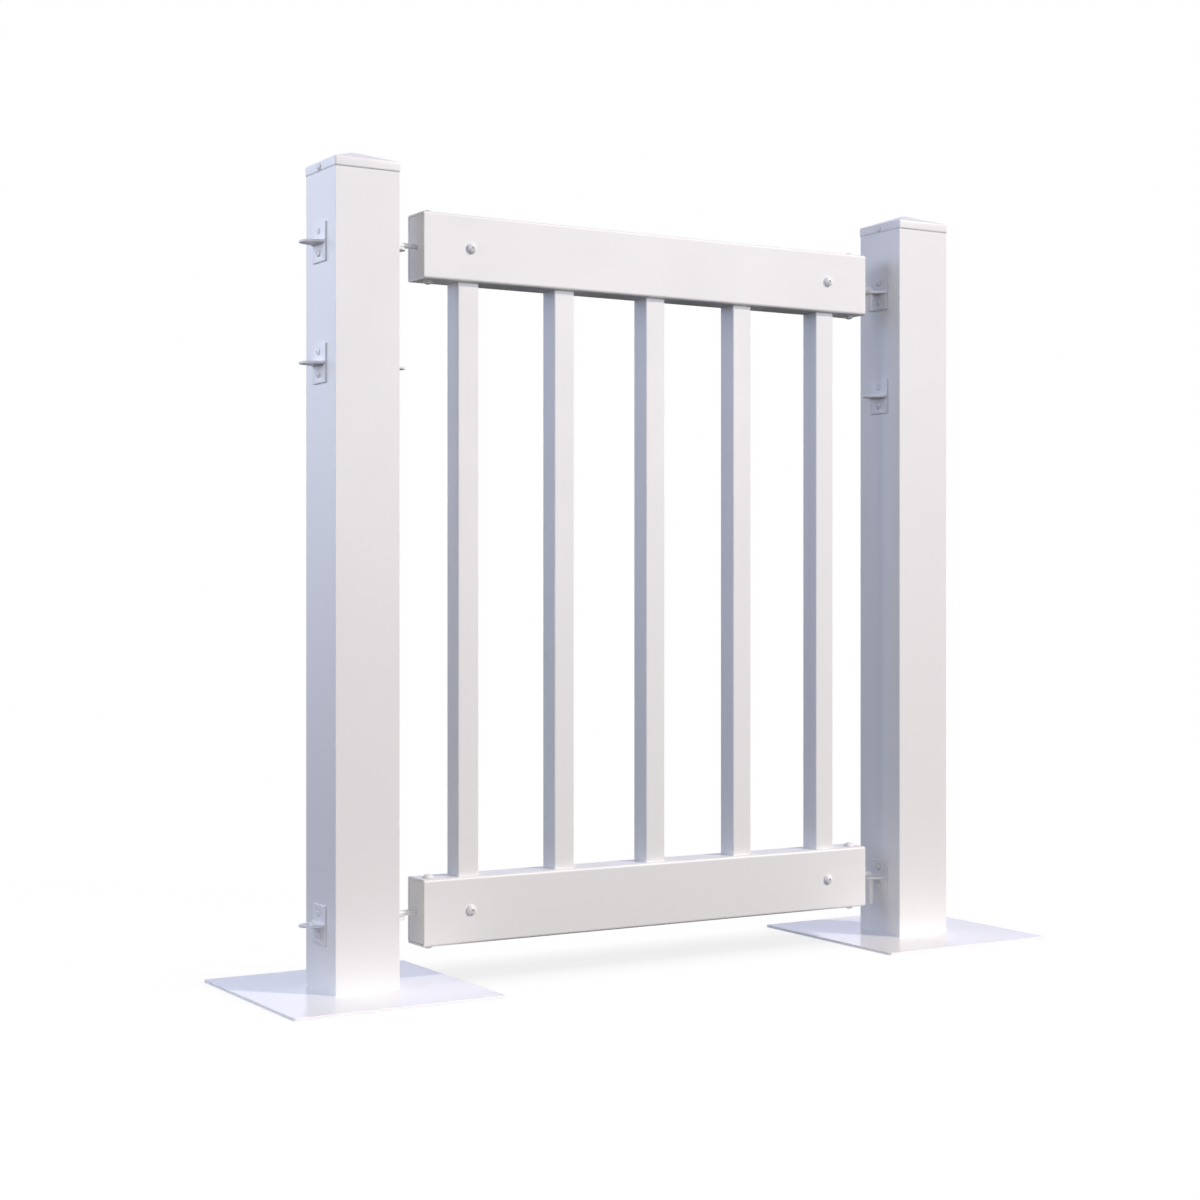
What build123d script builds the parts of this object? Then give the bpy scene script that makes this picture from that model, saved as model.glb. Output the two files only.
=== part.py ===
from build123d import *
import os
from math import atan2, degrees, sqrt

# One bay of a free-standing fence. A panel of square balusters between two rails hangs by four
# bent hook pins in the bracket tabs of two square posts, each on its own base plate.
# Millimetres. +X runs along the fence, +Y to its back, +Z up, origin on the ground midway
# between the posts.

os.makedirs("parts", exist_ok=True)

# Posts
post_size = 101.6
post_wall = 3.8
post_corner_radius = 4.5
post_length = 1188.0

# Base plates and the stubs that the posts stand over
base_size = 328.0
base_thickness = 4.0
base_corner_radius = 3.0
base_edge_radius = 0.8
stub_screw_margin = 40.0
stub_wall = 3.0
stub_clearance = 0.5

# Post caps
cap_wall = 1.3
cap_clearance = 0.2
cap_corner_radius = 3.5
cap_skirt_height = 16.0
cap_roof_thickness = 2.0
cap_rise = 16.0
cap_peak_size = 7.0

# Rails
rail_length = 820.0
rail_height = 98.6
rail_depth = 53.0
rail_wall = 3.0
rail_corner_radius = 4.0
rail_end_gap = 52.2
upper_rail_drop = 108.8
lower_rail_level = 105.4

# Balusters, let into the rails through routed holes
baluster_pitch = 166.0
baluster_size = 35.0
baluster_wall = 2.0
baluster_corner_radius = 2.0
baluster_fit = 0.3
baluster_top_room = 5.0
baluster_end_room = 5.0

# Hook pins, bent from round rod and held in plugs in the rail ends
pin_diameter = 8.0
pin_bend_radius = 6.0
pin_offset = 19.5
pin_hole_clearance = 0.5
pin_seat_clearance = 0.3
pin_socket_depth = 32.0
pin_socket_clearance = 0.05
pin_point_chamfer = 1.5
upper_pin_leg = 38.0
lower_pin_leg = 51.0
plug_length = 40.0
plug_recess = 0.5
plug_clearance = 0.2
plug_edge_radius = 1.2

# Hook brackets, a T of plate and tab, with the tab narrowing to a round end about its hole
bracket_width = 44.0
bracket_height = 56.5
bracket_plate_thickness = 3.0
tab_thickness = 3.6
tab_end_radius = 13.2
tab_root_radius = 3.0
middle_bracket_drop = 173.5

# Screws
screw_hole_clearance = 0.1
button_head_diameter = 15.0
button_head_height = 5.5
button_rim_height = 1.6
button_socket_width = 4.8
button_socket_depth = 2.5
button_shank_diameter = 6.0
button_shank_length = 22.0
end_screw_inset = 17.0
end_screw_forward = 4.5
pan_head_diameter = 9.5
pan_head_height = 3.0
pan_rim_height = 1.2
pan_shank_diameter = 4.8
pan_shank_length = 16.0
pan_screw_offset = 16.0
cap_screw_head_diameter = 7.5
cap_screw_head_height = 2.2
cap_screw_rim_height = 0.6
cap_screw_shank_diameter = 3.6
cap_screw_shank_length = 12.0

# Places worked out from the sizes above
SIDES = (("left", -1), ("right", 1))
FACES = (("outer", 1), ("inner", -1))
post_spacing = rail_length + 2 * rail_end_gap + post_size
post_inside = post_size - 2 * post_wall
post_inside_radius = max(post_corner_radius - post_wall, 1.0)
post_top = base_thickness + post_length
upper_rail_level = post_top - upper_rail_drop
cap_size = post_size + 2 * (cap_clearance + cap_wall)
cap_eaves = post_top + cap_roof_thickness
cap_peak = cap_eaves + cap_rise
cap_foot = cap_eaves - cap_skirt_height
cap_screw_level = (cap_foot + post_top) / 2
roof_slope = degrees(atan2((cap_size - cap_peak_size) / 2, cap_rise))
ceiling_slope = degrees(atan2((post_inside - cap_peak_size) / 2, cap_rise))
pin_radius = pin_diameter / 2
pin_hole_radius = pin_radius + pin_hole_clearance
pin_x = post_spacing / 2 - post_size / 2 - pin_offset
button_hole_radius = button_shank_diameter / 2 + screw_hole_clearance
pan_hole_radius = pan_shank_diameter / 2 + screw_hole_clearance
cap_hole_radius = cap_screw_shank_diameter / 2 + screw_hole_clearance
end_screw_x = rail_length / 2 - end_screw_inset
rail_inside_height = rail_height - 2 * rail_wall
rail_inside_depth = rail_depth - 2 * rail_wall
rail_inside_radius = max(rail_corner_radius - rail_wall, 1.0)
routed_size = baluster_size + 2 * baluster_fit
routed_radius = baluster_corner_radius + baluster_fit

# As many balusters as fit at their pitch between the plugs in the rail ends
end_reserve = plug_recess + plug_length + baluster_end_room + routed_size / 2
baluster_count = int((rail_length - 2 * end_reserve) / baluster_pitch) + 1
end_baluster_x = baluster_pitch * (baluster_count - 1) / 2

# The bend of a hook pin sits in the mouth of the tab's hole, so the tab's top lies this far
# below the pin's arm.
bend_inside_radius = pin_bend_radius - pin_radius
mouth_to_bend_centre = pin_bend_radius - pin_hole_radius
bend_height_at_mouth = sqrt(bend_inside_radius**2 - mouth_to_bend_centre**2)
tab_drop = pin_bend_radius - bend_height_at_mouth + pin_seat_clearance + tab_thickness / 2
bracket_levels = {
    "upper": upper_rail_level - tab_drop,
    "middle": upper_rail_level - tab_drop - middle_bracket_drop,
    "lower": lower_rail_level - tab_drop,
}
bracket_screw_levels = [
    level + step
    for level in bracket_levels.values()
    for step in (-pan_screw_offset, pan_screw_offset)
]
stub_screw_levels = [
    bracket_levels["lower"] + step for step in (-pan_screw_offset, pan_screw_offset)
]
stub_top = max(stub_screw_levels) + stub_screw_margin


def save(builder, name):
    """Label the finished part and write it as one STEP file."""
    builder.part.label = name
    export_step(builder.part, f"parts/{name}.step")


def domed_screw(head_diameter, head_height, rim_height, shank_diameter, shank_length):
    """Return a screw with a domed head on z = 0 and its shank below."""
    head_radius = head_diameter / 2
    shank_radius = shank_diameter / 2
    with BuildPart() as screw:
        with BuildSketch(Plane.XZ):
            with BuildLine():
                Polyline(
                    (0, head_height),
                    (0, -shank_length),
                    (shank_radius, -shank_length),
                    (shank_radius, 0),
                    (head_radius, 0),
                    (head_radius, rim_height),
                )
                TangentArc((0, head_height), (head_radius, rim_height), tangent=(1, 0))
            make_face()
        revolve(axis=Axis.Z)
    return screw.part


def button_screw():
    """Return a button-head screw with a hexagon socket."""
    plain = domed_screw(
        button_head_diameter,
        button_head_height,
        button_rim_height,
        button_shank_diameter,
        button_shank_length,
    )
    with BuildPart() as screw:
        add(plain)
        with BuildSketch(Plane.XY.offset(button_head_height)):
            RegularPolygon(button_socket_width / 2, 6, major_radius=False)
        extrude(amount=-button_socket_depth, mode=Mode.SUBTRACT)
    return screw.part


def hook_bracket():
    """Return a bracket with its back on x = 0, its tab towards +X and centred on z = 0."""
    half_height = bracket_height / 2
    half_tab = tab_thickness / 2
    tab_length = pin_offset + tab_end_radius
    with BuildPart() as bracket:
        with BuildSketch(Plane.XZ):
            with BuildLine():
                Polyline(
                    (0, -half_height),
                    (bracket_plate_thickness, -half_height),
                    (bracket_plate_thickness, -half_tab),
                    (tab_length, -half_tab),
                    (tab_length, half_tab),
                    (bracket_plate_thickness, half_tab),
                    (bracket_plate_thickness, half_height),
                    (0, half_height),
                    close=True,
                )
            section = make_face()
            inner_corners = [
                corner
                for corner in section.vertices()
                if abs(corner.X - bracket_plate_thickness) < 1e-6 and abs(corner.Y) < half_height - 1e-6
            ]
            fillet(inner_corners, tab_root_radius)
        extrude(amount=bracket_width / 2, both=True)
        with BuildSketch(Plane.XY.offset(-half_height)):
            with Locations((bracket_plate_thickness / 2, 0)):
                Rectangle(bracket_plate_thickness, bracket_width)
            with Locations((pin_offset, 0)):
                Circle(tab_end_radius)
            make_hull()
        extrude(amount=bracket_height, mode=Mode.INTERSECT)
        with Locations((pin_offset, 0, half_tab)):
            Hole(pin_hole_radius, depth=tab_thickness)
        screw_seats = [
            Plane(origin=(bracket_plate_thickness, 0, step), z_dir=(1, 0, 0))
            for step in (-pan_screw_offset, pan_screw_offset)
        ]
        with Locations(*screw_seats):
            Hole(pan_hole_radius, depth=bracket_plate_thickness)
    return bracket.part


pan_screw = domed_screw(
    pan_head_diameter, pan_head_height, pan_rim_height, pan_shank_diameter, pan_shank_length
)
cap_screw = domed_screw(
    cap_screw_head_diameter,
    cap_screw_head_height,
    cap_screw_rim_height,
    cap_screw_shank_diameter,
    cap_screw_shank_length,
)
panel_screw = button_screw()
plain_bracket = hook_bracket()

for side, side_sign in SIDES:
    post_x = side_sign * post_spacing / 2

    # Base plate
    with BuildPart() as base_plate:
        with BuildSketch():
            with Locations((post_x, 0)):
                RectangleRounded(base_size, base_size, base_corner_radius)
        extrude(amount=base_thickness)
        fillet(base_plate.faces().sort_by(Axis.Z)[-1].edges(), base_edge_radius)
    save(base_plate, f"{side}_base_plate")

    # Stub on the base plate, inside the foot of the post
    stub_size = post_inside - 2 * stub_clearance
    with BuildPart() as stub:
        with BuildSketch(Plane.XY.offset(base_thickness)):
            with Locations((post_x, 0)):
                RectangleRounded(stub_size, stub_size, stub_wall)
                Rectangle(stub_size - 2 * stub_wall, stub_size - 2 * stub_wall, mode=Mode.SUBTRACT)
        extrude(amount=stub_top - base_thickness)
        stub_holes = [
            Plane(origin=(post_x + stub_size / 2, 0, level), z_dir=(1, 0, 0))
            for level in stub_screw_levels
        ]
        with Locations(*stub_holes):
            Hole(pan_hole_radius, depth=stub_size)
    save(stub, f"{side}_base_stub")

    # Post, drilled for the bracket screws and the cap screws
    with BuildPart() as post:
        with BuildSketch(Plane.XY.offset(base_thickness)):
            with Locations((post_x, 0)):
                RectangleRounded(post_size, post_size, post_corner_radius)
                RectangleRounded(post_inside, post_inside, post_inside_radius, mode=Mode.SUBTRACT)
        extrude(amount=post_length)
        bracket_holes = [
            Plane(origin=(post_x + post_size / 2, 0, level), z_dir=(1, 0, 0))
            for level in bracket_screw_levels
        ]
        with Locations(*bracket_holes):
            Hole(pan_hole_radius, depth=post_size)
        with Locations(Plane(origin=(post_x + post_size / 2, 0, cap_screw_level), z_dir=(1, 0, 0))):
            Hole(cap_hole_radius, depth=post_size)
    save(post, f"{side}_post")

    # Cap, a skirt round the post and a low pyramid roof that seats on the post's end
    with BuildPart() as cap:
        with BuildSketch(Plane.XY.offset(cap_foot)):
            with Locations((post_x, 0)):
                Rectangle(cap_size, cap_size)
        extrude(amount=cap_skirt_height)
        with BuildSketch(Plane.XY.offset(cap_eaves)):
            with Locations((post_x, 0)):
                Rectangle(cap_size, cap_size)
        extrude(amount=cap_rise, taper=roof_slope)
        with BuildSketch(Plane.XY.offset(cap_foot)):
            with Locations((post_x, 0)):
                RectangleRounded(cap_size, cap_size, cap_corner_radius)
        extrude(amount=cap_peak - cap_foot, mode=Mode.INTERSECT)
        pocket_size = post_size + 2 * cap_clearance
        with BuildSketch(Plane.XY.offset(cap_foot)):
            with Locations((post_x, 0)):
                Rectangle(pocket_size, pocket_size)
        extrude(amount=post_top - cap_foot, mode=Mode.SUBTRACT)
        with BuildSketch(Plane.XY.offset(post_top)):
            with Locations((post_x, 0)):
                Rectangle(post_inside, post_inside)
        extrude(amount=cap_rise, taper=ceiling_slope, mode=Mode.SUBTRACT)
        with Locations(Plane(origin=(post_x + cap_size / 2, 0, cap_screw_level), z_dir=(1, 0, 0))):
            Hole(cap_hole_radius, depth=cap_size)
    save(cap, f"{side}_post_cap")

    # Cap screws, one in each side face
    cap_screw_seats = [
        Plane(origin=(post_x + face_sign * cap_size / 2, 0, cap_screw_level), z_dir=(face_sign, 0, 0))
        for face_sign in (-1, 1)
    ]
    with BuildPart() as cap_screws:
        with Locations(*cap_screw_seats):
            add(cap_screw)
    save(cap_screws, f"{side}_cap_screws")

    # Brackets, three on each side face
    bracket_screw_seats = []
    for face, face_sign in FACES:
        outward = side_sign * face_sign
        face_x = post_x + outward * post_size / 2
        for place, level in bracket_levels.items():
            with BuildPart() as bracket:
                with Locations(Plane(origin=(face_x, 0, level), x_dir=(outward, 0, 0), z_dir=(0, 0, 1))):
                    add(plain_bracket)
            save(bracket, f"{side}_{face}_{place}_bracket")
        seat_x = face_x + outward * bracket_plate_thickness
        bracket_screw_seats += [
            Plane(origin=(seat_x, 0, level), z_dir=(outward, 0, 0)) for level in bracket_screw_levels
        ]
    with BuildPart() as bracket_screws:
        with Locations(*bracket_screw_seats):
            add(pan_screw)
    save(bracket_screws, f"{side}_bracket_screws")

rails = (
    ("upper", upper_rail_level, upper_pin_leg, -1),
    ("lower", lower_rail_level, lower_pin_leg, 1),
)
for place, rail_level, pin_leg, inward in rails:
    face_screw_seats = [
        Plane(origin=(x, -rail_depth / 2, rail_level), z_dir=(0, -1, 0))
        for x in (-end_baluster_x, end_baluster_x)
    ]
    end_screw_seats = [
        Plane(origin=(x, -end_screw_forward, rail_level + up * rail_height / 2), z_dir=(0, 0, up))
        for x in (-end_screw_x, end_screw_x)
        for up in (-1, 1)
    ]

    # Rail, routed for the balusters on the face towards the other rail
    with BuildPart() as rail:
        with BuildSketch(Plane.YZ.offset(-rail_length / 2)):
            with Locations((0, rail_level)):
                RectangleRounded(rail_depth, rail_height, rail_corner_radius)
                RectangleRounded(
                    rail_inside_depth, rail_inside_height, rail_inside_radius, mode=Mode.SUBTRACT
                )
        extrude(amount=rail_length)
        with BuildSketch(Plane.XY.offset(rail_level)):
            with GridLocations(baluster_pitch, baluster_pitch, baluster_count, 1):
                RectangleRounded(routed_size, routed_size, routed_radius)
        extrude(amount=inward * rail_height, mode=Mode.SUBTRACT)
        with Locations(*face_screw_seats):
            Hole(button_hole_radius, depth=rail_depth / 2)
        with Locations(*end_screw_seats):
            Hole(button_hole_radius, depth=rail_height / 2)
    save(rail, f"{place}_rail")

    # Screws, two in the front face and four above and below the ends
    with BuildPart() as rail_screws:
        with Locations(*face_screw_seats, *end_screw_seats):
            add(panel_screw)
    save(rail_screws, f"{place}_rail_screws")

    for side, side_sign in SIDES:
        plug_face_x = side_sign * (rail_length / 2 - plug_recess)

        # Plug in the rail's end, with a socket for the hook pin
        with BuildPart() as plug:
            with BuildSketch(Plane(origin=(plug_face_x, 0, rail_level), x_dir=(0, 1, 0), z_dir=(1, 0, 0))):
                RectangleRounded(
                    rail_inside_depth - 2 * plug_clearance,
                    rail_inside_height - 2 * plug_clearance,
                    rail_inside_radius,
                )
            extrude(amount=-side_sign * plug_length)
            outer_face = plug.faces().sort_by(Axis.X)[-1 if side_sign > 0 else 0]
            fillet(outer_face.edges(), min(plug_edge_radius, rail_inside_radius * 0.9))
            with Locations(Plane(origin=(plug_face_x, 0, rail_level), z_dir=(side_sign, 0, 0))):
                Hole(pin_radius + pin_socket_clearance, depth=pin_socket_depth)
            with Locations(*end_screw_seats):
                Hole(button_hole_radius, depth=button_shank_length)
        save(plug, f"{side}_{place}_rail_plug")

        # Hook pin, an arm out of the plug and a leg down through the bracket's tab
        arm_end_x = plug_face_x - side_sign * pin_socket_depth
        leg_x = side_sign * pin_x
        with BuildPart() as hook_pin:
            with BuildLine(Plane.XZ) as rod:
                FilletPolyline(
                    (arm_end_x, rail_level),
                    (leg_x, rail_level),
                    (leg_x, rail_level - pin_leg),
                    radius=pin_bend_radius,
                )
            with BuildSketch(Plane(origin=rod.line @ 0, z_dir=rod.line % 0)):
                Circle(pin_radius)
            sweep()
            point = hook_pin.edges().filter_by(GeomType.CIRCLE).sort_by(Axis.Z)[0]
            chamfer(point, pin_point_chamfer)
        save(hook_pin, f"{side}_{place}_hook_pin")

# Balusters, standing on the floor of the lower rail and held in both routed holes
baluster_foot = lower_rail_level - rail_height / 2 + rail_wall
baluster_top = upper_rail_level + rail_height / 2 - rail_wall - baluster_top_room
baluster_inside = baluster_size - 2 * baluster_wall
for number in range(1, baluster_count + 1):
    baluster_x = (number - 1) * baluster_pitch - end_baluster_x
    with BuildPart() as baluster:
        with BuildSketch(Plane.XY.offset(baluster_foot)):
            with Locations((baluster_x, 0)):
                RectangleRounded(baluster_size, baluster_size, baluster_corner_radius)
                Rectangle(baluster_inside, baluster_inside, mode=Mode.SUBTRACT)
        extrude(amount=baluster_top - baluster_foot)
        if number in (1, baluster_count):
            lock_holes = [
                Plane(origin=(baluster_x, -baluster_size / 2, level), z_dir=(0, -1, 0))
                for level in (lower_rail_level, upper_rail_level)
            ]
            with Locations(*lock_holes):
                Hole(button_hole_radius, depth=baluster_size / 2)
    save(baluster, f"baluster_{number}")
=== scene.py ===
"""Dress one bay of a white modular fence: two posts on base plates and the panel hung between them.

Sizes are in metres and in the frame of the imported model: +X along the fence, +Y to its back, +Z up.
"""

import logging
import math
from dataclasses import dataclass, field, replace
from enum import Enum
from typing import Any, Callable, Iterable, Sequence

import bmesh
import bpy
from mathutils import Matrix, Vector


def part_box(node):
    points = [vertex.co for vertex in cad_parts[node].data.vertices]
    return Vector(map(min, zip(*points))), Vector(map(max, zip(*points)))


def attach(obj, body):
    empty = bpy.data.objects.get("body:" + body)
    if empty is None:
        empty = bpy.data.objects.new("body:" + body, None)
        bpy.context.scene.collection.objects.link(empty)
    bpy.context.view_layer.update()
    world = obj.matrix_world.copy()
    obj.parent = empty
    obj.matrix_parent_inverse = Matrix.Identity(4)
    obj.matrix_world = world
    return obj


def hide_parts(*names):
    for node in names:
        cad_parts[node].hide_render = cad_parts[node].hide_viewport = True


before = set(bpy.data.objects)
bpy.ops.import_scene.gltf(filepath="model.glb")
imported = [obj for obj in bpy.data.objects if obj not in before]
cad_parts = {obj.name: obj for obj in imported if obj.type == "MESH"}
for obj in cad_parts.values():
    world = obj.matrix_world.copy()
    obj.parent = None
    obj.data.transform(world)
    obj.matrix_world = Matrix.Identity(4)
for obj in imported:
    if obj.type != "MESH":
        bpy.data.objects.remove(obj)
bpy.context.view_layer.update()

NEAR = 1e-6
QUARTER_TURN = math.pi / 2
# The turn from one screw to the next, so that no two recesses lie alike.
GOLDEN_ANGLE = math.radians(137.5)
# Most values of a noise texture lie in this span.
NOISE_SPAN = (0.3, 0.7)
WHITE = "FFFFFF"
Finishes = dict[str, bpy.types.Material]
log = logging.getLogger("fence_bay")


class Side(Enum):
    """A post's side of the bay, with the sign of its X."""

    LEFT = -1
    RIGHT = 1


class Face(Enum):
    """A side face of a post: away from the panel, or towards it."""

    OUTER = 1
    INNER = -1


class Level(Enum):
    """A height that brackets, rails and pins share."""

    UPPER = "upper"
    MIDDLE = "middle"
    LOWER = "lower"


class Drive(Enum):
    """The recess that turns a screw."""

    HEX_SOCKET = "hex_socket"
    CROSS_RECESS = "cross_recess"


class Part(Enum):
    """What an edit-mode pick takes."""

    EDGE = "EDGE"
    FACE = "FACE"


def linear(hex_colour: str) -> tuple[float, float, float, float]:
    """Turn an sRGB hex colour into linear RGBA.

    Args:
        hex_colour: Six hex digits.

    Returns:
        Linear red, green and blue, and a full alpha.
    """
    channels = [int(hex_colour[i : i + 2], 16) / 255 for i in (0, 2, 4)]
    red, green, blue = (c / 12.92 if c <= 0.04045 else ((c + 0.055) / 1.055) ** 2.4 for c in channels)
    return red, green, blue, 1.0


def add_node(
    tree: bpy.types.NodeTree,
    kind: str,
    settings: dict[str, Any] | None = None,
    inputs: dict[str | int, Any] | None = None,
    links: dict[str | int, bpy.types.NodeSocket] | None = None,
) -> bpy.types.Node:
    """Add a shader node, set it and link it.

    Args:
        tree: The material's or world's node tree.
        kind: Blender's name for the node's type.
        settings: The node's own properties, by name.
        inputs: Constant values, by input socket.
        links: Output sockets to link, by input socket.

    Returns:
        The new node.
    """
    node = tree.nodes.new(kind)
    for name, value in (settings or {}).items():
        setattr(node, name, value)
    for name, value in (inputs or {}).items():
        node.inputs[name].default_value = value
    for name, socket in (links or {}).items():
        tree.links.new(socket, node.inputs[name])
    return node


def select_only(*pieces: bpy.types.Object) -> None:
    """Select these objects and nothing else, and make the first one active.

    Args:
        pieces: The objects to select.
    """
    bpy.ops.object.select_all(action="DESELECT")
    for piece in pieces:
        piece.select_set(True)
    bpy.context.view_layer.objects.active = pieces[0]


def settle() -> bpy.types.Object:
    """Put the active object's place, turn and scale into its mesh, and return it."""
    bpy.ops.object.transform_apply(location=True, rotation=True, scale=True)
    return bpy.context.view_layer.objects.active


def apply_modifier(piece: bpy.types.Object, kind: str, **settings: Any) -> None:
    """Add a modifier to a piece, set it and apply it.

    Args:
        piece: The object to change.
        kind: Blender's name for the modifier's type.
        settings: The modifier's properties.
    """
    select_only(piece)
    modifier = piece.modifiers.new(kind.title(), kind)
    for name, value in settings.items():
        setattr(modifier, name, value)
    bpy.ops.object.modifier_apply(modifier=modifier.name)


def cut(piece: bpy.types.Object, cutter: bpy.types.Object) -> None:
    """Cut one shape out of a piece, and take the cutter away."""
    apply_modifier(piece, "BOOLEAN", operation="DIFFERENCE", solver="EXACT", object=cutter)
    bpy.data.objects.remove(cutter)


def soften(piece: bpy.types.Object, radius: float, angle: float, segments: int = 2) -> None:
    """Round a piece's sharp edges and shade it smooth.

    Args:
        piece: The object to finish.
        radius: The edge rounding's width.
        angle: The angle above which an edge is sharp.
        segments: How many faces the rounding has.
    """
    apply_modifier(
        piece,
        "BEVEL",
        offset_type="WIDTH",
        width=radius,
        segments=segments,
        limit_method="ANGLE",
        angle_limit=angle,
    )
    select_only(piece)
    bpy.ops.object.shade_smooth_by_angle(angle=angle)


def set_out(pattern: bpy.types.Object, name: str, places: Iterable[Matrix]) -> bpy.types.Object:
    """Copy a pattern to each place, and make the copies one piece with its place in its mesh.

    Args:
        pattern: The object to copy, which stays where it is.
        name: The new piece's name.
        places: Where each copy goes.

    Returns:
        The new piece.
    """
    copies = []
    for place in places:
        select_only(pattern)
        bpy.ops.object.duplicate(linked=False)
        copy = bpy.context.view_layer.objects.active
        copy.matrix_world = place
        copies.append(settle())
    select_only(*copies)
    if len(copies) > 1:
        bpy.ops.object.join()
    piece = bpy.context.view_layer.objects.active
    piece.name = name
    piece.data.name = name
    return piece


def coat(piece: bpy.types.Object, material: bpy.types.Material) -> None:
    """Give a piece one material all over."""
    piece.data.materials.clear()
    piece.data.materials.append(material)


def hand_over(
    piece: bpy.types.Object, body: str, node: str, material: bpy.types.Material
) -> None:
    """Finish a new piece: its material, the body it rides on and the node it stands for.

    Args:
        piece: The new piece.
        body: The CAD body it moves with.
        node: The CAD node it replaces.
        material: Its finish.
    """
    coat(piece, material)
    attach(piece, body)
    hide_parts(node)
    log.info("%s stands for %s on %s, %d faces", piece.name, node, body, len(piece.data.polygons))


class Bench:
    """A mesh in edit mode, with its parts picked in code."""

    def __init__(self, piece: bpy.types.Object) -> None:
        """Take the piece to work on."""
        self.piece = piece

    def __enter__(self) -> "Bench":
        """Open the piece, alone, in edit mode.

        Returns:
            The bench itself.
        """
        select_only(self.piece)
        bpy.ops.object.mode_set(mode="EDIT")
        return self

    def __exit__(self, *_: object) -> None:
        """Close edit mode."""
        bpy.ops.object.mode_set(mode="OBJECT")

    def pick(self, part: Part, test: Callable[[Vector], bool], along: Vector | None = None) -> None:
        """Select every edge or face whose corners all pass a test.

        Args:
            part: What to select.
            test: Says whether a corner's place is wanted.
            along: The direction that picked edges run in, where that matters.
        """
        bpy.ops.mesh.select_mode(type=part.value)
        bpy.ops.mesh.select_all(action="DESELECT")
        mesh = bmesh.from_edit_mesh(self.piece.data)
        for item in mesh.edges if part is Part.EDGE else mesh.faces:
            first, second = item.verts[0].co, item.verts[1].co
            runs = along is None or (second - first).cross(along).length < NEAR
            if runs and all(test(corner.co) for corner in item.verts):
                item.select_set(True)
        mesh.select_flush_mode()
        bmesh.update_edit_mesh(self.piece.data)

    def pull(self, *offset: float) -> None:
        """Extrude what is selected by an offset."""
        bpy.ops.mesh.extrude_region_move(TRANSFORM_OT_translate={"value": offset})

    def split(self, point: Sequence[float], normal: Sequence[float], clear_below: bool = False) -> None:
        """Cut the whole mesh along a plane.

        Args:
            point: A point of the plane.
            normal: The plane's normal.
            clear_below: Whether what lies behind the plane goes.
        """
        bpy.ops.mesh.select_all(action="SELECT")
        bpy.ops.mesh.bisect(plane_co=point, plane_no=normal, clear_inner=clear_below)

    def clean(self) -> None:
        """Merge doubles and turn all faces outwards."""
        bpy.ops.mesh.select_all(action="SELECT")
        bpy.ops.mesh.remove_doubles(threshold=NEAR)
        bpy.ops.mesh.normals_make_consistent(inside=False)


@dataclass(frozen=True)
class Finish:
    """A surface by how it was made: two close tints, a range of gloss, and a relief in its skin.

    Attributes:
        name: The real finish.
        tints: Two sRGB hex colours that the surface drifts between.
        roughness: The lowest and highest roughness.
        drift: The size of the drift in tint and gloss.
        grain: The size of the relief's grains.
        relief: The relief's depth.
        run: How much longer a grain is along X, Y and Z.
        ior: The index of refraction of a plastic or paint.
        metallic: 1 for bare metal.
    """

    name: str
    tints: tuple[str, str]
    roughness: tuple[float, float]
    drift: float
    grain: float
    relief: float
    run: tuple[float, float, float] = (1.0, 1.0, 1.0)
    ior: float = 1.5
    metallic: float = 0.0

    def material(self) -> bpy.types.Material:
        """Build the finish as a procedural material on Object coordinates.

        Returns:
            The new material.
        """
        material = bpy.data.materials.new(self.name)
        material.use_nodes = True
        tree = material.node_tree
        tree.nodes.clear()
        place = add_node(tree, "ShaderNodeTexCoord").outputs["Object"]
        stretched = add_node(
            tree,
            "ShaderNodeMapping",
            inputs={"Scale": [1 / (self.grain * length) for length in self.run]},
            links={"Vector": place},
        )
        grains = add_node(
            tree,
            "ShaderNodeTexNoise",
            inputs={"Scale": 1.0, "Detail": 2.0, "Roughness": 0.5},
            links={"Vector": stretched.outputs["Vector"]},
        )
        clouds = add_node(
            tree,
            "ShaderNodeTexNoise",
            inputs={"Scale": 1 / self.drift, "Detail": 3.0, "Roughness": 0.55},
            links={"Vector": place},
        )
        tint = add_node(
            tree,
            "ShaderNodeMix",
            {"data_type": "RGBA"},
            {"A": linear(self.tints[0]), "B": linear(self.tints[1])},
            {"Factor": clouds.outputs["Fac"]},
        )
        gloss = add_node(
            tree,
            "ShaderNodeMapRange",
            inputs={
                "From Min": NOISE_SPAN[0],
                "From Max": NOISE_SPAN[1],
                "To Min": self.roughness[0],
                "To Max": self.roughness[1],
            },
            links={"Value": clouds.outputs["Fac"]},
        )
        skin = add_node(
            tree,
            "ShaderNodeBump",
            inputs={"Strength": 1.0, "Distance": self.relief},
            links={"Height": grains.outputs["Fac"]},
        )
        surface = add_node(
            tree,
            "ShaderNodeBsdfPrincipled",
            inputs={"IOR": self.ior, "Metallic": self.metallic},
            links={
                "Base Color": tint.outputs["Result"],
                "Roughness": gloss.outputs["Result"],
                "Normal": skin.outputs["Normal"],
            },
        )
        add_node(tree, "ShaderNodeOutputMaterial", links={"Surface": surface.outputs["BSDF"]})
        return material


# Rigid PVC drawn through a die: satin, with faint lines along the length. Die lines are a fraction of
# a millimetre apart, drawn coarser here so that they show.
POST_VINYL = Finish(
    name="satin white extruded PVC, upright",
    tints=("F1F1F0", "EEEEEE"),
    roughness=(0.36, 0.44),
    drift=0.12,
    grain=0.004,
    relief=0.00001,
    run=(1, 1, 250),
    ior=1.53,
)
# The same PVC with its die lines along X, as in a rail.
RAIL_VINYL = replace(POST_VINYL, name="satin white extruded PVC, level", run=(250, 1, 1))
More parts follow.
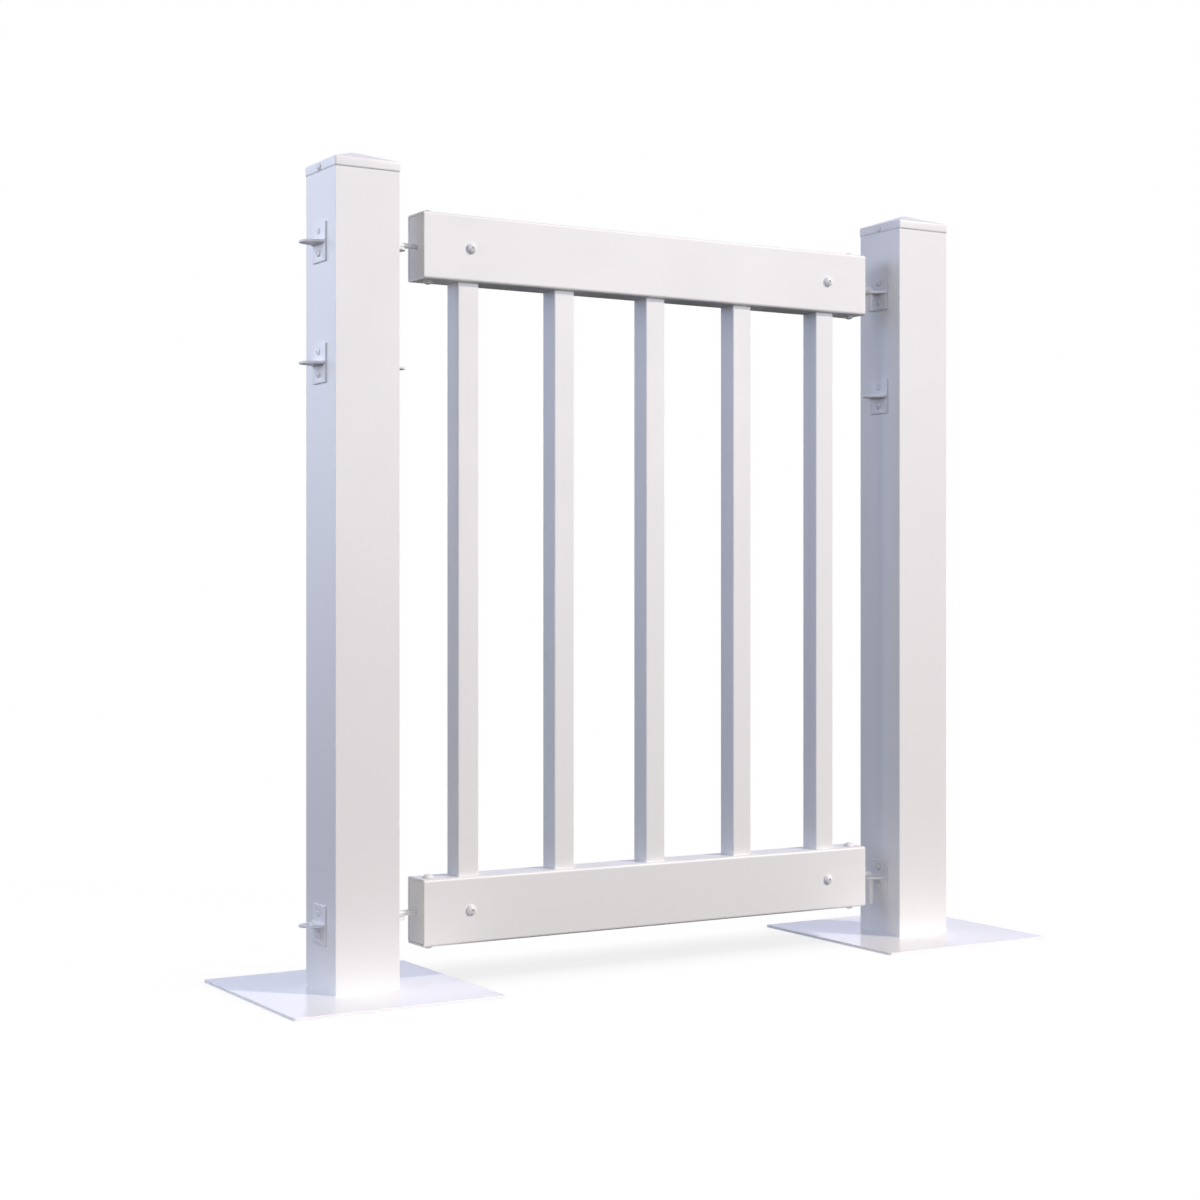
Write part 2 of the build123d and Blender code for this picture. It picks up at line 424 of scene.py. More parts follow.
# PVC moulded in a lightly spark-eroded tool: a fine even grain and a soft sheen. The real grain is
# about a tenth of a millimetre across, drawn coarser here so that it shows.
CAP_PLASTIC = Finish(
    name="moulded white PVC, fine grain",
    tints=("F2F2F1", "EFEFEF"),
    roughness=(0.34, 0.42),
    drift=0.05,
    grain=0.0012,
    relief=0.00001,
    ior=1.53,
)
# Polypropylene from a rougher tool: duller than the PVC round it, its grain drawn coarser too.
PLUG_PLASTIC = Finish(
    name="moulded white polypropylene, matt",
    tints=("EEEEED", "EAEAEA"),
    roughness=(0.5, 0.6),
    drift=0.03,
    grain=0.0012,
    relief=0.00002,
    ior=1.49,
)
# Polyester powder baked on flat steel: glossy, with the shallow dimples of orange peel.
PLATE_COAT = Finish(
    name="glossy white powder coat on steel plate",
    tints=("F8F8F9", "F5F5F7"),
    roughness=(0.16, 0.22),
    drift=0.1,
    grain=0.003,
    relief=0.000008,
    ior=1.52,
)
# The same powder on a small extrusion: thinner, so satin and with smaller dimples.
BRACKET_COAT = Finish(
    name="white powder coat on aluminium extrusion",
    tints=("F1F1F1", "EDEDEE"),
    roughness=(0.32, 0.42),
    drift=0.02,
    grain=0.0015,
    relief=0.00001,
    ior=1.52,
)
# The same powder on bent rod: satin, and uneven in gloss along the rod.
PIN_COAT = Finish(
    name="white powder coat on bent steel rod",
    tints=("F0F0EF", "EBEBEB"),
    roughness=(0.3, 0.42),
    drift=0.012,
    grain=0.0012,
    relief=0.00001,
    ior=1.52,
)
# Paint on a plated screw: thin and even, with a brighter glint than powder.
SCREW_COAT = Finish(
    name="white painted steel screw",
    tints=("F0F0F0", "EAEAEA"),
    roughness=(0.25, 0.36),
    drift=0.004,
    grain=0.0008,
    relief=0.000006,
    ior=1.52,
)
# Hot-dip zinc on the stub: grey, with soft spangle.
STUB_ZINC = Finish(
    name="galvanised steel tube",
    tints=("A9ADB0", "B9BCBE"),
    roughness=(0.35, 0.55),
    drift=0.012,
    grain=0.006,
    relief=0.00001,
    metallic=1.0,
)


@dataclass
class PostTube:
    """A square tube with tight corners, open at both ends and drilled across for its screws."""

    wall: float = 0.0038
    corner_radius: float = 0.001
    corner_segments: int = 4
    hole_radius: float = 0.0025
    hole_sides: int = 24
    sharp_angle: float = math.radians(35)

    def build(self, node: str, screw_levels: Iterable[float]) -> bpy.types.Object:
        """Model the tube over the origin, at the height of its node.

        Args:
            node: The CAD node that gives its size.
            screw_levels: The heights of the screws in its side faces.

        Returns:
            The tube, as a pattern.
        """
        low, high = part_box(node)
        size = high - low
        half = size.x / 2 - NEAR
        bpy.ops.mesh.primitive_cube_add(size=1, location=(0, 0, (low.z + high.z) / 2), scale=size)
        tube = settle()
        with Bench(tube) as bench:
            bench.pick(Part.EDGE, lambda at: abs(at.x) > half and abs(at.y) > half, along=Vector((0, 0, 1)))
            bpy.ops.mesh.bevel(offset=self.corner_radius, segments=self.corner_segments, affect="EDGES")
        bore = size.x - 2 * self.wall
        bpy.ops.mesh.primitive_cube_add(
            size=1, location=(0, 0, (low.z + high.z) / 2), scale=(bore, bore, 2 * size.z)
        )
        cut(tube, settle())
        bpy.ops.mesh.primitive_cylinder_add(
            vertices=self.hole_sides,
            radius=self.hole_radius,
            depth=2 * size.x,
            rotation=(0, QUARTER_TURN, 0),
        )
        drill = settle()
        cut(tube, set_out(drill, "drills", [Matrix.Translation((0, 0, level)) for level in screw_levels]))
        bpy.data.objects.remove(drill)
        select_only(tube)
        bpy.ops.object.shade_smooth_by_angle(angle=self.sharp_angle)
        apply_modifier(tube, "WEIGHTED_NORMAL", keep_sharp=True)
        return tube


@dataclass
class PostCap:
    """A moulded cap: a straight skirt round the post and a low pyramid roof, hollow beneath."""

    wall: float = 0.0013
    corner_radius: float = 0.0035
    corner_segments: int = 6
    edge_radius: float = 0.0005
    edge_segments: int = 3
    sharp_angle: float = math.radians(24)
    peak_size: float = 0.007
    rise: float = 0.016

    def build(self, node: str) -> bpy.types.Object:
        """Model the cap over the origin, at the height of its node.

        Args:
            node: The CAD node that gives its size.

        Returns:
            The cap, as a pattern.
        """
        low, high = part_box(node)
        size = high.x - low.x
        eaves = high.z - self.rise
        half = size / 2 - NEAR
        bpy.ops.mesh.primitive_cube_add(
            size=1, location=(0, 0, (low.z + eaves) / 2), scale=(size, size, eaves - low.z)
        )
        cap = settle()
        with Bench(cap) as bench:
            bench.pick(Part.EDGE, lambda at: abs(at.x) > half and abs(at.y) > half)
            bpy.ops.mesh.bevel(offset=self.corner_radius, segments=self.corner_segments, affect="EDGES")
            bench.pick(Part.FACE, lambda at: at.z > eaves - NEAR)
            bench.pull(0, 0, self.rise)
            taper = self.peak_size / size
            bpy.ops.transform.resize(value=(taper, taper, 1), center_override=(0, 0, high.z))
            bench.pick(Part.FACE, lambda at: at.z < low.z + NEAR)
            bpy.ops.mesh.delete(type="FACE")
            bench.clean()
        apply_modifier(
            cap,
            "BEVEL",
            width=self.edge_radius,
            segments=self.edge_segments,
            limit_method="ANGLE",
            angle_limit=self.sharp_angle,
        )
        apply_modifier(cap, "SOLIDIFY", thickness=self.wall, offset=-1.0)
        select_only(cap)
        bpy.ops.object.shade_smooth_by_angle(angle=self.sharp_angle)
        return cap


@dataclass
class HookBracket:
    """A T of extruded aluminium: a plate on the post, and a tab that narrows to a drilled round end."""

    plate: float = 0.003
    tab: float = 0.0036
    root_radius: float = 0.003
    hole_offset: float = 0.0195
    hole_radius: float = 0.0045
    screw_offset: float = 0.016
    screw_hole_radius: float = 0.0025
    edge_radius: float = 0.0004
    end_sides: int = 96
    hole_sides: int = 40
    screw_hole_sides: int = 24
    root_segments: int = 6
    flat_angle: float = math.radians(1)
    sharp_angle: float = math.radians(40)

    def build(self, node: str) -> bpy.types.Object:
        """Model the bracket with its back on X = 0 and its tab towards +X, centred on the origin's level.

        Args:
            node: A CAD node of its size.

        Returns:
            The bracket, as a pattern.
        """
        low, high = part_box(node)
        reach, width, height = high - low
        half_tab = self.tab / 2
        bpy.ops.mesh.primitive_cylinder_add(
            vertices=self.end_sides,
            radius=reach - self.hole_offset,
            depth=self.tab,
            location=(self.hole_offset, 0, 0),
        )
        bracket = settle()
        with Bench(bracket) as bench:
            bpy.ops.mesh.primitive_cube_add(
                size=1, location=(self.plate / 2, 0, 0), scale=(self.plate, width, self.tab)
            )
            bpy.ops.mesh.select_all(action="SELECT")
            bpy.ops.mesh.convex_hull()
            bpy.ops.mesh.select_all(action="SELECT")
            bpy.ops.mesh.dissolve_limited(angle_limit=self.flat_angle)
            bench.split((self.plate, 0, 0), (1, 0, 0))
            for sign in (-1, 1):
                bench.pick(Part.FACE, lambda at: at.x < self.plate + NEAR and sign * at.z > half_tab - NEAR)
                bench.pull(0, 0, sign * (height / 2 - half_tab))
            bench.pick(
                Part.EDGE,
                lambda at: abs(at.x - self.plate) < NEAR and abs(abs(at.z) - half_tab) < NEAR,
                along=Vector((0, 1, 0)),
            )
            bpy.ops.mesh.bevel(offset=self.root_radius, segments=self.root_segments, affect="EDGES")
            bench.clean()
        bpy.ops.mesh.primitive_cylinder_add(
            vertices=self.hole_sides,
            radius=self.hole_radius,
            depth=4 * self.tab,
            location=(self.hole_offset, 0, 0),
        )
        cut(bracket, settle())
        for level in (-self.screw_offset, self.screw_offset):
            bpy.ops.mesh.primitive_cylinder_add(
                vertices=self.screw_hole_sides,
                radius=self.screw_hole_radius,
                depth=4 * self.plate,
                location=(0, 0, level),
                rotation=(0, QUARTER_TURN, 0),
            )
            cut(bracket, settle())
        soften(bracket, self.edge_radius, self.sharp_angle)
        return bracket


@dataclass
class HookPin:
    """A round rod bent to an L: an arm out of the rail's plug, and a leg down through a bracket's tab."""

    radius: float = 0.004
    bend_radius: float = 0.006
    bend_steps: int = 10
    point: float = 0.0015
    sides: int = 28
    edge_radius: float = 0.0003
    sharp_angle: float = math.radians(35)

    def build(self, node: str) -> bpy.types.Object:
        """Model the pin with its leg's axis down from the origin and its arm towards +X.

        Args:
            node: A CAD node of its size.

        Returns:
            The pin, as a pattern.
        """
        low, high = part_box(node)
        arm = high.x - low.x - self.radius
        leg = high.z - low.z - self.radius
        bpy.ops.mesh.primitive_circle_add(
            vertices=self.sides,
            radius=self.radius,
            fill_type="NGON",
            location=(arm, 0, 0),
            rotation=(0, QUARTER_TURN, 0),
        )
        pin = settle()
        with Bench(pin) as bench:
            bpy.ops.mesh.select_all(action="SELECT")
            bench.pull(self.bend_radius - arm, 0, 0)
            bench.pick(Part.FACE, lambda at: at.x < self.bend_radius + NEAR)
            bpy.ops.mesh.spin(
                steps=self.bend_steps,
                angle=QUARTER_TURN,
                center=(self.bend_radius, 0, -self.bend_radius),
                axis=(0, 1, 0),
            )
            bench.pick(Part.FACE, lambda at: abs(at.z + self.bend_radius) < NEAR)
            bench.pull(0, 0, self.bend_radius - leg + self.point)
            bench.pull(0, 0, -self.point)
            taper = 1 - self.point / self.radius
            bpy.ops.transform.resize(value=(taper, taper, 1), center_override=(0, 0, -leg))
            bench.clean()
        soften(pin, self.edge_radius, self.sharp_angle)
        return pin


@dataclass
class DomedScrew:
    """A screw with a domed head on a short rim, a drive recess in its top, and a plain shank."""

    head_diameter: float
    head_height: float
    rim_height: float
    shank_diameter: float
    shank_length: float
    drive: Drive
    drive_width: float
    drive_depth: float
    segments: int = 32
    rings: int = 28
    edge_radius: float = 0.00018
    sharp_angle: float = math.radians(38)
    blade_share: float = 0.25

    def build(self) -> bpy.types.Object:
        """Model the screw with its head's seat on Z = 0 and its shank below.

        Returns:
            The screw, as a pattern.
        """
        half = self.head_diameter / 2
        crown = self.head_height - self.rim_height
        dome_radius = (half**2 + crown**2) / (2 * crown)
        bpy.ops.mesh.primitive_uv_sphere_add(
            segments=self.segments,
            ring_count=self.rings,
            radius=dome_radius,
            location=(0, 0, self.head_height - dome_radius),
        )
        screw = settle()
        with Bench(screw) as bench:
            bench.split((0, 0, self.rim_height), (0, 0, 1), clear_below=True)
            bench.pick(Part.EDGE, lambda at: at.z < self.rim_height + NEAR)
            bench.pull(0, 0, -self.rim_height)
            bench.pick(Part.EDGE, lambda at: at.z < NEAR)
            bpy.ops.mesh.edge_face_add()
            bpy.ops.mesh.inset(thickness=half - self.shank_diameter / 2)
            bench.pull(0, 0, -self.shank_length)
            bench.clean()
        self._cut_drive(screw)
        soften(screw, self.edge_radius, self.sharp_angle)
        return screw

    def _cut_drive(self, screw: bpy.types.Object) -> None:
        """Cut the drive recess into the head's top.

        Args:
            screw: The screw to cut.
        """
        top = (0, 0, self.head_height)
        if self.drive is Drive.HEX_SOCKET:
            across_corners = self.drive_width / math.cos(math.pi / 6)
            bpy.ops.mesh.primitive_cylinder_add(
                vertices=6, radius=across_corners / 2, depth=2 * self.drive_depth, location=top
            )
            cut(screw, settle())
            return
        blade = self.drive_width * self.blade_share
        for turn in (0.0, QUARTER_TURN):
            bpy.ops.mesh.primitive_cube_add(
                size=1,
                location=top,
                rotation=(0, 0, turn),
                scale=(self.drive_width, blade, 2 * self.drive_depth),
            )
            cut(screw, settle())


# The pan heads that hold the brackets.
PAN_SCREW = DomedScrew(
    head_diameter=0.0095,
    head_height=0.003,
    rim_height=0.0012,
    shank_diameter=0.0048,
    shank_length=0.016,
    drive=Drive.CROSS_RECESS,
    drive_width=0.0046,
    drive_depth=0.0014,
)
# The round heads in the caps' skirts.
CAP_SCREW = DomedScrew(
    head_diameter=0.01,
    head_height=0.004,
    rim_height=0.0011,
    shank_diameter=0.0036,
    shank_length=0.012,
    drive=Drive.CROSS_RECESS,
    drive_width=0.004,
    drive_depth=0.0012,
)
# The button heads in the rails.
BUTTON_SCREW = DomedScrew(
    head_diameter=0.016,
    head_height=0.0058,
    rim_height=0.0017,
    shank_diameter=0.006,
    shank_length=0.022,
    drive=Drive.HEX_SOCKET,
    drive_width=0.0044,
    drive_depth=0.004,
)


@dataclass
class FencePost:
    """One post on its base plate, with its cap, six brackets and their screws."""

    side: Side
    bracket: HookBracket
    body: str = field(init=False)

    def __post_init__(self) -> None:
        """Name the CAD body that the post's pieces ride on."""
        self.body = f"{self.side.name.lower()}_post"

    def node(self, rest: str) -> str:
        """Name a CAD node of this post."""
        return f"{self.side.name.lower()}_{rest}"

    def dress(self, finishes: Finishes) -> None:
        """Give the plate and stub that CAD shapes their finishes.

        Args:
            finishes: The materials by slot.
        """
        for rest, slot in (("base_plate", "base_steel"), ("base_stub", "stub_steel")):
            coat(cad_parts[self.node(rest)], finishes[slot])
            log.info("%s dressed as %s", self.node(rest), finishes[slot].name)

    def raise_tube(self, tube: bpy.types.Object, finishes: Finishes) -> None:
        """Stand the tube on its plate.

        Args:
            tube: The tube pattern.
            finishes: The materials by slot.
        """
        low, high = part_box(self.node("post"))
        middle = (low + high) / 2
        piece = set_out(tube, self.node("post_tube"), [Matrix.Translation((middle.x, middle.y, 0))])
        hand_over(piece, self.body, self.node("post"), finishes["post_vinyl"])

    def fit_cap(self, cap: bpy.types.Object, screw: bpy.types.Object, finishes: Finishes) -> None:
        """Set a cap on the post, with a screw in each side of its skirt.

        Args:
            cap: The cap pattern.
            screw: The cap screw pattern.
            finishes: The materials by slot.
        """
        low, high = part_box(self.node("post_cap"))
        middle = (low + high) / 2
        piece = set_out(cap, self.node("cap_shell"), [Matrix.Translation((middle.x, middle.y, 0))])
        hand_over(piece, self.body, self.node("post_cap"), finishes["cap_plastic"])
        screw_low, screw_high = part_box(self.node("cap_screws"))
        level = (screw_low.z + screw_high.z) / 2
        places = [
            Matrix.Translation((middle.x + sign * (high.x - low.x) / 2, middle.y, level))
            @ Matrix.Rotation(sign * QUARTER_TURN, 4, "Y")
            @ Matrix.Rotation(sign * GOLDEN_ANGLE, 4, "Z")
            for sign in (-1, 1)
        ]
        screws = set_out(screw, self.node("cap_skirt_screws"), places)
        hand_over(screws, self.body, self.node("cap_screws"), finishes["screw_steel"])

    def fit_brackets(
        self, bracket: bpy.types.Object, screw: bpy.types.Object, finishes: Finishes
    ) -> None:
        """Set three brackets on each side face, with a screw above and below each tab.

        Args:
            bracket: The bracket pattern.
            screw: The bracket screw pattern.
            finishes: The materials by slot.
        """
        screw_places = []
        for face in Face:
            outward = self.side.value * face.value
            for level in Level:
                name = self.node(f"{face.name.lower()}_{level.value}")
                low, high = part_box(f"{name}_bracket")
                back = Vector((low.x if outward > 0 else high.x, (low.y + high.y) / 2, (low.z + high.z) / 2))
                turn = Matrix.Rotation(0.0 if outward > 0 else math.pi, 4, "Z")
                piece = set_out(bracket, f"{name}_hook_bracket", [Matrix.Translation(back) @ turn])
                coating = finishes["bracket_aluminium"]
                hand_over(piece, self.body, f"{name}_bracket", coating)
                for step in (-self.bracket.screw_offset, self.bracket.screw_offset):
                    seat = back + Vector((outward * self.bracket.plate, 0, step))
                    spun = Matrix.Rotation(GOLDEN_ANGLE * len(screw_places), 4, "Z")
                    screw_places.append(
                        Matrix.Translation(seat) @ Matrix.Rotation(outward * QUARTER_TURN, 4, "Y") @ spun
                    )
        screws = set_out(screw, self.node("bracket_pan_screws"), screw_places)
        hand_over(screws, self.body, self.node("bracket_screws"), finishes["screw_steel"])


@dataclass
class FencePanel:
    """The hung panel: two rails with plugged ends, the balusters let into them, and four hook pins."""

    end_screw_inset: float = 0.017
    end_screw_forward: float = 0.0045
    body: str = "panel"

    def dress(self, finishes: Finishes) -> None:
        """Give the rails, plugs and balusters that CAD shapes their finishes.

        Args:
            finishes: The materials by slot.
        """
        for name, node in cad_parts.items():
            if name.endswith("_rail"):
                coat(node, finishes["rail_vinyl"])
            elif name.startswith("baluster_"):
                coat(node, finishes["baluster_vinyl"])
            elif name.endswith("_rail_plug"):
                coat(node, finishes["plug_plastic"])
            else:
                continue
            log.info("%s dressed as %s", name, node.data.materials[0].name)

    def fit_pins(self, pin: HookPin, finishes: Finishes) -> None:
        """Model the pin of each rail once and set one at each end.

        Args:
            pin: The pin's sizes.
            finishes: The materials by slot.
        """
        for level in (Level.UPPER, Level.LOWER):
            pattern = pin.build(f"left_{level.value}_hook_pin")
            for side in Side:
                name = f"{side.name.lower()}_{level.value}"
                low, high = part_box(f"{name}_hook_pin")
                leg_x = low.x + pin.radius if side is Side.LEFT else high.x - pin.radius
                corner = Vector((leg_x, (low.y + high.y) / 2, high.z - pin.radius))
                turn = Matrix.Rotation(0.0 if side is Side.LEFT else math.pi, 4, "Z")
                piece = set_out(pattern, f"{name}_bent_pin", [Matrix.Translation(corner) @ turn])
                hand_over(piece, self.body, f"{name}_hook_pin", finishes["pin_steel"])
            bpy.data.objects.remove(pattern)

    def fit_screws(self, screw: bpy.types.Object, finishes: Finishes) -> None:
        """Set button screws in each rail's front at the end balusters, and above and below its ends.

        Args:
            screw: The button screw pattern.
            finishes: The materials by slot.
        """
        balusters = [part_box(name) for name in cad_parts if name.startswith("baluster_")]
        centres = sorted((low.x + high.x) / 2 for low, high in balusters)
        for level in (Level.UPPER, Level.LOWER):
            low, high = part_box(f"{level.value}_rail")
            middle = (low + high) / 2
            places = [
                Matrix.Translation((x, low.y, middle.z)) @ Matrix.Rotation(QUARTER_TURN, 4, "X")
                for x in (centres[0], centres[-1])
            ]
            y = middle.y - self.end_screw_forward
            for x in (low.x + self.end_screw_inset, high.x - self.end_screw_inset):
                places.append(Matrix.Translation((x, y, high.z)))
                places.append(Matrix.Translation((x, y, low.z)) @ Matrix.Rotation(math.pi, 4, "X"))
            spun = [place @ Matrix.Rotation(GOLDEN_ANGLE * i, 4, "Z") for i, place in enumerate(places)]
            piece = set_out(screw, f"{level.value}_rail_button_screws", spun)
            hand_over(piece, self.body, f"{level.value}_rail_screws", finishes["screw_steel"])


@dataclass(frozen=True)
class Lamp:
    """A soft rectangular lamp.

    Attributes:
        name: What it does.
        place: Where it hangs.
        aim: The point it faces.
        size: Its width and height.
        watts: Its power.
        colour: Its sRGB hex colour.
        mirrored: Whether glossy surfaces show it.
    """

    name: str
    place: tuple[float, float, float]
    aim: tuple[float, float, float]
    size: tuple[float, float]
    watts: float
    colour: str
    mirrored: bool = True

    def hang(self) -> bpy.types.Object:
        """Add the lamp to the scene.

        Returns:
            The lamp's object, hidden from the camera.
        """
        bpy.ops.object.light_add(type="AREA", location=self.place)
        lamp = bpy.context.view_layer.objects.active
        lamp.name = self.name
        lamp.data.shape = "RECTANGLE"
        lamp.data.size, lamp.data.size_y = self.size
        lamp.data.energy = self.watts
        lamp.data.color = linear(self.colour)[:3]
        lamp.rotation_euler = (Vector(self.place) - Vector(self.aim)).to_track_quat("Z", "Y").to_euler()
        lamp.visible_camera = False
        lamp.visible_glossy = self.mirrored
        return lamp


@dataclass(frozen=True)
class SkyLobe:
    """A soft patch of sky.

    Attributes:
        direction: Where its middle lies.
        sharpness: The power of the cosine that it fades with.
        strength: Its brightness in the middle.
        colour: Its sRGB hex colour.
    """

    direction: tuple[float, float, float]
    sharpness: float
    strength: float
    colour: str


@dataclass
class Studio:
    """The camera at the photograph's angle, a pale floor, a soft sky and the lamps.

    Attributes:
        image_side: The photograph's width and height in pixels.
        focal_length: The camera's fitted focal length in pixels.
        principal_point: The pixel that the camera's axis meets.
        camera_place: Where the camera stands.
        yaw: The camera's turn from +Y towards +X.
        sensor: The sensor's width in millimetres.
        floor_radius: The round floor's radius.
        floor_sides: How many sides the round floor has.
        floor_bounce: How much light the floor throws back far off and close by.
        bounce_reach: How far close by reaches.
        floor_shade: How much of the lamps' own shadows the seen floor takes.
        floor_glow_with_painted_shadow: The seen floor's glow: full in the open, and lowered where the object
            shelters it, which paints a soft shadow.
        floor_mirror: The share of the seen floor in reflections.
        painted_shadow_reach: How far what shelters the floor, and so gives the painted shadow, may be.
        painted_shadow_lean: The lean about X of the direction in which shelter is looked for, which skews
            the painted shadow.
        mirror_colour: The backdrop's sRGB hex colour in reflections.
        mirror_strength: The backdrop's brightness in reflections.
        horizon: The heights that the sky fades between.
        ground_share: The sky's brightness below the horizon.
        lobes: The sky's soft patches.
        lamps: The lamps.
    """

    image_side: float = 1200.0
    focal_length: float = 2092.56
    principal_point: tuple[float, float] = (519.51, 593.69)
    camera_place: tuple[float, float, float] = (-1.8105, -2.7445, 0.5730)
    yaw: float = math.radians(29.863)
    sensor: float = 36.0
    floor_radius: float = 3.0
    floor_sides: int = 128
    floor_bounce: tuple[float, float] = (0.04, 0.7)
    bounce_reach: float = 0.05
    floor_shade: float = 0.03
    # The glow's low end, with the shelter's reach and lean, paints the floor's soft shadow.
    floor_glow_with_painted_shadow: tuple[float, float] = (0.58, 0.985)
    floor_mirror: float = 0.12
    painted_shadow_reach: float = 0.15
    painted_shadow_lean: float = math.radians(35)
    mirror_colour: str = "E3E6FF"
    mirror_strength: float = 1.35
    horizon: tuple[float, float] = (-0.06, 0.04)
    ground_share: float = 0.12
    lobes: tuple[SkyLobe, ...] = (
        SkyLobe((-1.0, -0.2, 0.15), 8.0, 1.72, "E6E7FF"),
        SkyLobe((1.0, -1.0, 0.3), 4.0, 0.75, "FFE6D5"),
    )
    lamps: tuple[Lamp, ...] = (
        Lamp("warm_key", (11.0, -12.2, 11.95), (0.0, 0.0, 0.55), (1.2, 1.2), 2280.0, "FFF7EC"),
        Lamp("front_fill", (-0.4, -3.0, 1.8), (-0.2, 0.0, 0.9), (2.4, 1.2), 18.0, "DAE4FF"),
        Lamp("front_right_fill", (2.4, -4.4, 1.5), (0.0, 0.0, 0.7), (2.0, 1.6), 66.0, "FAFBFF"),
        Lamp("left_fill", (-1.9, 0.0, 1.35), (-0.6, 0.0, 1.0), (0.8, 1.0), 7.7, WHITE),
        Lamp("left_back_fill", (-2.2, 1.4, 1.5), (0.0, 0.0, 0.7), (1.2, 1.4), 16.0, "C0D6FF"),
        Lamp("back_fill", (0.5, 8.0, 1.05), (0.0, 0.0, 0.65), (1.2, 1.0), 150.0, "FFFCF8", mirrored=False),
    )

    def set_camera(self) -> None:
        """Place the camera level, with a shift for the photograph's framing."""
        bpy.ops.object.camera_add(location=self.camera_place, rotation=(QUARTER_TURN, 0, -self.yaw))
        camera = bpy.context.view_layer.objects.active
        middle = self.image_side / 2
        camera.data.sensor_width = self.sensor
        camera.data.lens = self.focal_length / self.image_side * self.sensor
        camera.data.shift_x = (middle - self.principal_point[0]) / self.image_side
        camera.data.shift_y = (self.principal_point[1] - middle) / self.image_side
        bpy.context.scene.camera = camera

    def lay_floor(self) -> None:
        """Lay a round floor that shows white, with a soft shadow painted into its glow where the object
        shelters it.

        It throws light back on what lies within a few centimetres of it, such as the plates' edges, and
        little on the rest, because the undersides in the photograph are dark.
        """
        bpy.ops.mesh.primitive_circle_add(
            vertices=self.floor_sides, radius=self.floor_radius, fill_type="NGON"
        )
        floor = bpy.context.view_layer.objects.active
        floor.name = "studio_floor"
        material = bpy.data.materials.new("matt white studio floor")
        material.use_nodes = True
        tree = material.node_tree
        tree.nodes.clear()
        path = add_node(tree, "ShaderNodeLightPath").outputs
        seen = add_node(
            tree,
            "ShaderNodeMath",
            {"operation": "MULTIPLY_ADD"},
            {1: self.floor_mirror},
            {0: path["Is Glossy Ray"], 2: path["Is Camera Ray"]},
        )
        shown = add_node(
            tree,
            "ShaderNodeMath",
            {"operation": "MAXIMUM"},
            links={0: seen.outputs[0], 1: path["Is Transmission Ray"]},
        )
        close = add_node(
            tree,
            "ShaderNodeMath",
            {"operation": "LESS_THAN"},
            {1: self.bounce_reach},
            {0: path["Ray Length"]},
        )
        bounce = add_node(
            tree,
            "ShaderNodeMapRange",
            inputs={"To Min": self.floor_bounce[0], "To Max": self.floor_bounce[1]},
            links={"Value": close.outputs[0]},
        )
        dim = add_node(tree, "ShaderNodeBsdfDiffuse", links={"Color": bounce.outputs["Result"]})
        shade = add_node(tree, "ShaderNodeBsdfDiffuse", inputs={"Color": (*[self.floor_shade] * 3, 1.0)})
        upright = add_node(tree, "ShaderNodeNewGeometry").outputs["Normal"]
        leaning = add_node(
            tree,
            "ShaderNodeVectorRotate",
            {"rotation_type": "X_AXIS"},
            {"Angle": self.painted_shadow_lean},
            {"Vector": upright},
        )
        # Ambient occlusion marks where the object shelters the floor; the glow is lowered there, which
        # paints a soft shadow.
        painted_shadow_mask = add_node(
            tree,
            "ShaderNodeAmbientOcclusion",
            inputs={"Distance": self.painted_shadow_reach},
            links={"Normal": leaning.outputs["Vector"]},
        )
        painted_shadow_glow = add_node(
            tree,
            "ShaderNodeMapRange",
            inputs={"To Min": self.floor_glow_with_painted_shadow[0], "To Max": self.floor_glow_with_painted_shadow[1]},
            links={"Value": painted_shadow_mask.outputs["AO"]},
        )
        glow = add_node(tree, "ShaderNodeEmission", links={"Strength": painted_shadow_glow.outputs["Result"]})
        # The lamps' own faint shadows on the dim shade, added to the glow that carries the painted shadow.
        white = add_node(
            tree, "ShaderNodeAddShader", links={0: shade.outputs["BSDF"], 1: glow.outputs["Emission"]}
        )
        floor_surface = add_node(
            tree,
            "ShaderNodeMixShader",
            links={0: shown.outputs[0], 1: dim.outputs["BSDF"], 2: white.outputs["Shader"]},
        )
        add_node(tree, "ShaderNodeOutputMaterial", links={"Surface": floor_surface.outputs["Shader"]})
        coat(floor, material)

    def make_sky(self) -> None:
        """Make a white backdrop for the camera, a cool one for reflections, and a soft sky for light."""
        world = bpy.data.worlds.new("studio sky")
        bpy.context.scene.world = world
        world.use_nodes = True
        tree = world.node_tree
        tree.nodes.clear()
        towards = add_node(tree, "ShaderNodeTexCoord").outputs["Generated"]
        height = add_node(tree, "ShaderNodeSeparateXYZ", links={"Vector": towards}).outputs["Z"]
        path = add_node(tree, "ShaderNodeLightPath").outputs
        above = add_node(
            tree,
            "ShaderNodeMapRange",
            {"interpolation_type": "SMOOTHSTEP"},
            {"From Min": self.horizon[0], "From Max": self.horizon[1], "To Min": self.ground_share},
            {"Value": height},
        )
        sky = add_node(tree, "ShaderNodeBackground", inputs={"Strength": 0.0})
        for lobe in self.lobes:
            facing = add_node(
                tree,
                "ShaderNodeVectorMath",
                {"operation": "DOT_PRODUCT"},
                {1: Vector(lobe.direction).normalized()},
                {0: towards},
            )
            ahead = add_node(
                tree, "ShaderNodeMath", {"operation": "MAXIMUM"}, {1: 0.0}, {0: facing.outputs["Value"]}
            )
            faded = add_node(
                tree, "ShaderNodeMath", {"operation": "POWER"}, {1: lobe.sharpness}, {0: ahead.outputs[0]}
            )
            level = add_node(
                tree, "ShaderNodeMath", {"operation": "MULTIPLY"}, {1: lobe.strength}, {0: faded.outputs[0]}
            )
            strength = add_node(
                tree,
                "ShaderNodeMath",
                {"operation": "MULTIPLY"},
                links={0: level.outputs[0], 1: above.outputs[0]},
            )
